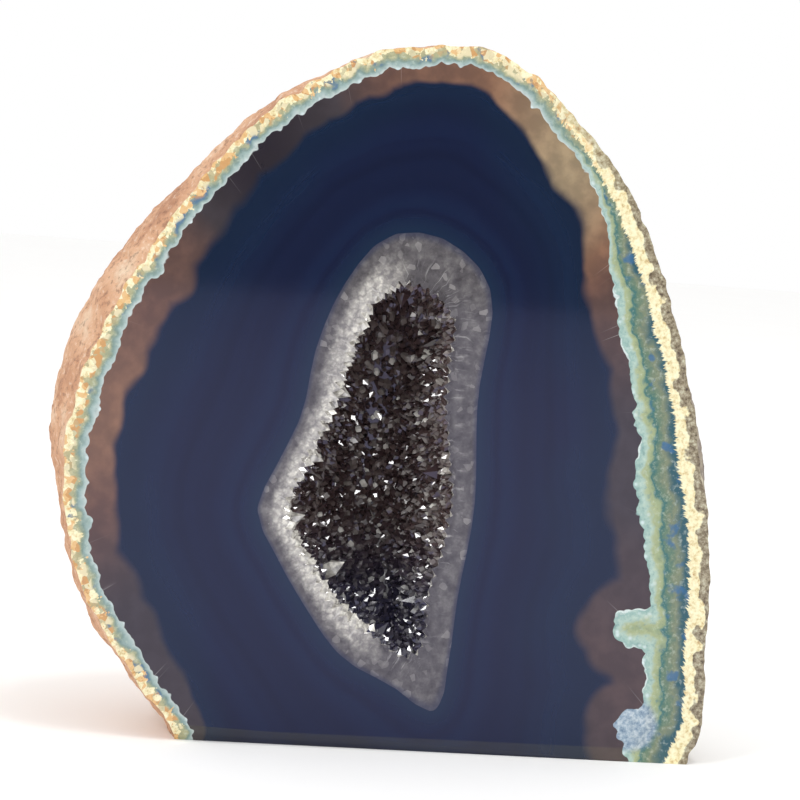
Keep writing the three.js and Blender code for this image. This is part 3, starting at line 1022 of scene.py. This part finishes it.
def grow_crystal(bm, wall, direction, width, length, tone, slot):
    """Adds one quartz point, a closed solid rooted in the wall, and remembers its shade."""
    root = wall - direction * POINT_ROOT * MM
    turn = direction.to_track_quat("Z", "Y")
    spin = random.uniform(0, math.pi / 3)
    tip_height = width * random.uniform(0.55, 0.8)
    rings = []
    for level in range(2):
        ring = []
        for corner in range(6):
            angle = spin + corner * math.pi / 3
            radius = width / 2 * (1 - TAPER * level)
            drop = width * 0.16 * (1 if corner % 2 else -1) if level else 0.0
            height = (length - tip_height + drop) * level
            place = Vector((radius * math.cos(angle), radius * math.sin(angle), height))
            ring.append(bm.verts.new(root + turn @ place * MM))
        rings.append(ring)
    off = width * 0.09
    tip_place = Vector((random.uniform(-off, off), random.uniform(-off, off), length))
    tip = bm.verts.new(root + turn @ tip_place * MM)
    verts = rings[0] + rings[1] + [tip]
    ahead_of_face = FACE_Y + 0.03 * MM - min(vert.co.y for vert in verts)
    if ahead_of_face > 0:
        for vert in verts:
            vert.co.y += ahead_of_face
    low, high = rings
    faces = [bm.faces.new(low[::-1])]
    for i in range(6):
        faces.append(bm.faces.new((low[i - 1], low[i], high[i], high[i - 1])))
        faces.append(bm.faces.new((high[i - 1], high[i], tip)))
    for face in faces:
        face.material_index = slot
    for vert in verts:
        tones_and_painted_glints[vert] = tone


def leaning(out):
    """The way a crystal grows: out of the wall, with a lean of its own."""
    lean = Vector([random.gauss(0, LEAN) for _ in range(3)])
    return (out + lean).normalized()


row_step = POINT_SPACING * MM / HOLLOW_DEPTH
turn = FIRST_ROW
point_count = 0
while turn < math.pi / 2:
    in_row = max(1, round(len(mouth_curve) * TOOTH_SPACING * math.cos(turn) / POINT_SPACING))
    for i in range(in_row):
        around = (i + random.uniform(-0.4, 0.4)) / in_row
        wall, out = wall_at(around, turn + random.uniform(-0.4, 0.4) * row_step)
        rim_left = left_at(around) * max(0.0, 1 - turn / RIM_ENDS)
        width = random.uniform(*POINT_WIDTH) * (1 + RIM_WIDER * rim_left)
        length = random.uniform(*POINT_LENGTH) * (1 + RIM_LONGER * rim_left)
        # The crystals are paler over the 6 mm that start 1 mm right of the stone's middle.
        rightness = max(0.0, min(1.0, (wall.x / MM - 1.0) / 6))
        right_wall = rightness * max(0.0, 1 - turn / RIGHT_WALL_ENDS)
        tone = 0.7 * random.random() ** 2 + 0.14 * right_wall
        # A few points are painted white all over, as painted glints.
        if random.random() < PAINTED_GLINT_SHARE:
            tone = 1.0
        slot = PALE_SLOT if rim_left > 0.45 else POINT_SLOT
        grow_crystal(bed, wall, leaning(out), width, length + POINT_ROOT, tone, slot)
        point_count += 1
    turn += row_step
# The larger pale crystals stand in two rows just behind the left side of the mouth.
in_row = len(mouth_curve) // 2
for row_turn in EDGE_ROWS:
    for i in range(in_row):
        around = (i + random.uniform(-0.3, 0.3)) / in_row
        if random.random() < left_at(around):
            wall, out = wall_at(around, row_turn + random.uniform(0, 0.03))
            direction = (leaning(out) + Vector((0, 0.25, 0))).normalized()
            width = random.uniform(*EDGE_WIDTH)
            length = random.uniform(*EDGE_LENGTH)
            grow_crystal(bed, wall, direction, width, length, random.uniform(0.3, 1), PALE_SLOT)
            point_count += 1
print("crystals grown:", point_count)

# %% [markdown]
# ## Quartz
# All three quartz materials are the same mineral, with an IOR of 1.544 and natural crystal faces as
# smooth as glass. The ring is a cut through packed crystals: grey, a little milky, and rayed across.
# The points are smoky, almost black where they crowd together, and only their gloss tells one face from
# the next. The pale points are full of tiny bubbles, so they scatter light and look white.

# %% Quartz materials
QUARTZ_IOR = 1.544


def cut_quartz():
    """The ring: packed crystals sawn across and polished."""
    material, shader, add = new_material("cut_quartz", POLISHED, QUARTZ_IOR)
    along = add("Attribute", attribute_name="along_ring", out=1)
    across = add("Attribute", attribute_name="across_ring")
    left = add("Attribute", attribute_name="left_ring")
    place = position_mm(add)
    rays = add("TexNoise", {"Vector": along, "Scale": 1 / 0.8, "Detail": 3.0, "Roughness": 0.6})
    cloud = add("TexNoise", {"Vector": place, "Scale": 1 / 1.6, "Detail": 5.0, "Roughness": 0.65})
    grey = add("ValToRGB", {0: cloud}, stops=[(0.3, "#433f40"), (0.5, "#575354"), (0.7, "#6e6b6a")])
    # Crystals cut across, about a millimetre each: some lighter, most not, partly their own paler tone
    # and partly painted glitter.
    sections = add("TexVoronoi", {"Vector": place, "Scale": 1 / 0.9}, out=1)
    pale_sections_and_painted_glitter = add("MapRange", {0: sections, 1: 0.72, 2: 0.98, 4: 0.35})
    # On the left the crystals are milky from half way in.
    wander = add("Math", {0: cloud, 1: 0.35, 2: across}, operation="MULTIPLY_ADD")
    pale_share = add("MapRange", {0: wander, 1: 0.42, 2: 1.05, 4: left})
    shake = add("TexNoise", {"Vector": place, "Scale": 1 / 0.7, "Detail": 3.0}, out=1)
    shake = add("VectorMath", {0: shake, 3: 1.8}, operation="SCALE")
    shaken = add("VectorMath", {0: place, 1: shake}, operation="ADD")
    chunks = add("TexVoronoi", {"Vector": shaken, "Scale": 1.0})
    milk = add("ValToRGB", {0: chunks}, stops=[(0.1, "#dad6cd"), (0.45, "#b2aea8"), (0.85, "#858180")])
    # Fine pale rays run into the hollow.
    inner_ring = add("MapRange", {0: across, 1: 0.3, 2: 0.95, 4: 0.5})
    ray_light = add("MapRange", {0: rays, 1: 0.55, 2: 0.75, 4: inner_ring})
    # Beside the hollow on the right, smoky crystals show through between the grey ones.
    not_left = add("MapRange", {0: left, 1: 0.5, 2: 0.0, 4: 0.8})
    near_mouth = add("MapRange", {0: across, 1: 0.7, 2: 0.98, 4: not_left})
    smoky_spots = add("MapRange", {0: cloud, 1: 0.48, 2: 0.56, 4: near_mouth})
    # The dye crept a little way in from the agate.
    rim = add("MapRange", {0: across, 1: 0.2, 2: 0.0, 4: 0.65})
    for share, tint in (
        (pale_sections_and_painted_glitter, "#b5b1ae"),
        (pale_share, milk),
        (ray_light, "#d8d5d2"),
        (smoky_spots, "#2f2929"),
        (rim, "#2b3048"),
    ):
        grey = add("Mix", {0: share, 6: grey, 7: tint})
    plug(material, grey, shader["Base Color"])
    return material


def smoky_quartz():
    """The points in the hollow: near black, glassy, each a shade of its own; a few painted white as
    glints.
    """
    material, shader, add = new_material("smoky_quartz", 0.08, QUARTZ_IOR)
    tone = add("Attribute", attribute_name="tone")
    place = position_mm(add)
    veil = add("TexNoise", {"Vector": place, "Scale": 1 / 0.6, "Detail": 2.0})
    shade = add("Math", {0: veil, 1: 0.2, 2: tone}, operation="MULTIPLY_ADD")
    # The ramp's white top is reached only by the points painted white as painted glints.
    colour = add(
        "ValToRGB",
        {0: shade},
        stops=[
            (0.12, "#3d2e2f"),
            (0.4, "#564644"),
            (0.7, "#766c69"),
            (0.92, "#a9a29c"),
            (1.0, "#f1ede6"),
        ],
    )
    # The dye crept in at the hollow's foot.
    height = add("SeparateXYZ", {0: place}, out=2)
    dyed = add("MapRange", {0: height, 1: 36.0, 2: 20.0, 4: 0.6})
    plug(material, add("Mix", {0: dyed, 6: colour, 7: "#1f2b47"}), shader["Base Color"])
    shader["Coat Weight"].default_value = 0.6
    shader["Coat Roughness"].default_value = 0.03
    return material


def milky_quartz():
    """The pale points and the large crystals: white with tiny bubbles, still glassy outside."""
    material, shader, add = new_material("milky_quartz", 0.1, QUARTZ_IOR)
    place = position_mm(add)
    veil = add("TexNoise", {"Vector": place, "Scale": 1 / 0.9, "Detail": 3.0})
    colour = add("ValToRGB", {0: veil}, stops=[(0.35, "#9c9893"), (0.5, "#cbc7bf"), (0.66, "#f0ede5")])
    plug(material, colour, shader["Base Color"])
    shader["Coat Weight"].default_value = 0.5
    shader["Coat Roughness"].default_value = 0.03
    return material


quartz_materials = [cut_quartz(), smoky_quartz(), milky_quartz()]
print("quartz materials:", [material.name for material in quartz_materials])

# %% [markdown]
# ## The druse as a piece
# The ring's rays have to follow its edge, so each point stores where the nearest point of that edge is on
# a circle of the same length, and how far it is on the way from the agate to the mouth. Each crystal
# stores its own shade, which one material can then read for all of them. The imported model's large
# crystals stay as they are and are given the quartz of the side on which they stand.

# %% The druse as a piece
bed.verts.index_update()
mouth_tree = tree_of_points([on_face(point) for point in mouth_curve])
RING_RADIUS = len(QUARTZ_EDGE) * QUAD / MM / (2 * math.pi)
BED_TONE = 0.1  # the shade of the wall between the crystals
ring_values = []
for vert in bed.verts:
    _, nearest, from_agate = QUARTZ_TREE.find(vert.co)
    from_mouth = mouth_tree.find(vert.co)[2]
    angle = nearest / len(QUARTZ_EDGE) * 2 * math.pi
    share = from_agate / max(from_agate + from_mouth, 1e-9)
    along = (RING_RADIUS * math.cos(angle), RING_RADIUS * math.sin(angle), share)
    flat = Vector((vert.co.x, vert.co.z)) / MM
    ring_values.append((along, share, leftness(flat), tones_and_painted_glints.get(vert, BED_TONE)))
druse = as_piece("quartz_points", bed, quartz_materials)
along_layer = druse.data.attributes.new("along_ring", "FLOAT_VECTOR", "POINT")
along_layer.data.foreach_set("vector", [value for values in ring_values for value in values[0]])
for i, name in enumerate(("across_ring", "left_ring", "tone"), start=1):
    store(druse.data, name, [values[i] for values in ring_values])
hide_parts("quartz_druse")
for name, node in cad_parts.items():
    if name.startswith("large_crystal"):
        low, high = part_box(name)
        middle = (low + high) / 2 / MM
        is_left = leftness(Vector((middle.x, middle.z))) > 0.5
        node.material_slots[0].material = quartz_materials[PALE_SLOT if is_left else POINT_SLOT]
print("druse piece:", len(druse.data.vertices), "points,", len(druse.data.polygons), "faces")

# %% [markdown]
# ## The studio
# The stone stands on a plain pale floor in an even white room. A polished face mirrors what stands in
# front of it: its lower part shows a sheet of blue-grey paper on the floor, and its upper part an upright
# slate card. Three small softboxes shape the skin. Three more light nothing directly and are seen
# only as flashes in the crystals' faces. All of them stand where the flat face can't show them.

# %% Floor, card, lights and sky
# The stage's sizes are in metres.
FLOOR_FRONT = -1.85
FLOOR_BACK = 3.0
FLOOR_SIDE = 3.0
FLOOR_LEVEL = -0.02 * MM  # a hair below the base, so that the two don't share a plane
CARD_LEFT = -0.3
CARD_RIGHT = 1.0
CARD_HEIGHT = 0.5
SHEET_LEFT = -0.6
SHEET_LEVEL = 1 * MM
SHEET_BACK = FACE_Y - 6 * MM
SPARKLE_POWER = 55  # watts for each square metre of a sparkle light


def flat_panel(name, corner, width, edge, material):
    """A staged rectangle, from its left corner, its width to the right and its other edge."""
    across = Vector((width, 0, 0))
    corner, edge = Vector(corner), Vector(edge)
    mesh = bpy.data.meshes.new(name)
    corners = [corner, corner + across, corner + across + edge, corner + edge]
    mesh.from_pydata(corners, [], [(0, 1, 2, 3)])
    mesh.materials.append(material)
    panel = bpy.data.objects.new(name, mesh)
    bpy.context.scene.collection.objects.link(panel)
    return panel


def paper(name, colour, other):
    """Matt studio paper, with the faintest mottling."""
    material, shader, add = new_material(name, 0.9, 1.45)
    mottle = add("TexNoise", {"Vector": position_mm(add), "Scale": 1 / 60, "Detail": 2.0})
    plug(material, add("Mix", {0: mottle, 6: colour, 7: other}), shader["Base Color"])
    return material


flat_panel(
    "floor",
    (-FLOOR_SIDE, FLOOR_FRONT, FLOOR_LEVEL),
    2 * FLOOR_SIDE,
    (0, FLOOR_BACK - FLOOR_FRONT, 0),
    paper("white_paper", "#fbfaf9", "#fdfdfc"),
)
card = flat_panel(
    "dark_card",
    (CARD_LEFT, FLOOR_FRONT, 0),
    CARD_RIGHT - CARD_LEFT,
    (0, 0, CARD_HEIGHT),
    paper("slate_paper", "#747f9f", "#7883a4"),
)
# The sheet and the card are seen only as reflections on the face.
sheet = flat_panel(
    "blue_grey_sheet",
    (SHEET_LEFT, FLOOR_FRONT, SHEET_LEVEL),
    CARD_RIGHT - SHEET_LEFT,
    (0, SHEET_BACK - FLOOR_FRONT, 0),
    paper("blue_grey_paper", "#bdc2f2", "#c1c6f5"),
)
for paper_sheet in (card, sheet):
    paper_sheet.visible_camera = False
    paper_sheet.visible_diffuse = False
    paper_sheet.visible_shadow = False


def softbox(name, place, size, power):
    """A square area light that faces the stone."""
    light = bpy.data.lights.new(name, "AREA")
    light.size = size
    light.energy = power
    box = bpy.data.objects.new(name, light)
    aim = Vector((0, 0, 0.05)) - Vector(place)
    box.matrix_world = Matrix.Translation(place) @ aim.to_track_quat("-Z", "Y").to_matrix().to_4x4()
    bpy.context.scene.collection.objects.link(box)
    return box


softbox("key_light", (-0.75, -0.75, 1.0), 0.15, 2.6)
softbox("fill_light", (0.9, -0.75, 0.75), 0.12, 1.5)
softbox("top_light", (0.1, -0.35, 1.3), 0.15, 2.0)
SPARKLES = {
    "left_sparkle": ((-0.8, -0.8, 0.75), 0.3),
    "right_sparkle": ((0.95, -0.7, 0.2), 0.5),
    "top_sparkle": ((0.15, -0.8, 0.95), 0.5),
}
for name, (place, size) in SPARKLES.items():
    sparkle = softbox(name, place, size, SPARKLE_POWER * size**2)
    sparkle.visible_diffuse = False
sky = bpy.data.worlds.new("pale_room")
sky.use_nodes = True
sky.node_tree.nodes["Background"].inputs[0].default_value = (1.0, 1.0, 1.0, 1.0)
sky.node_tree.nodes["Background"].inputs[1].default_value = 1.0
bpy.context.scene.world = sky
bpy.context.scene.view_settings.view_transform = "Standard"
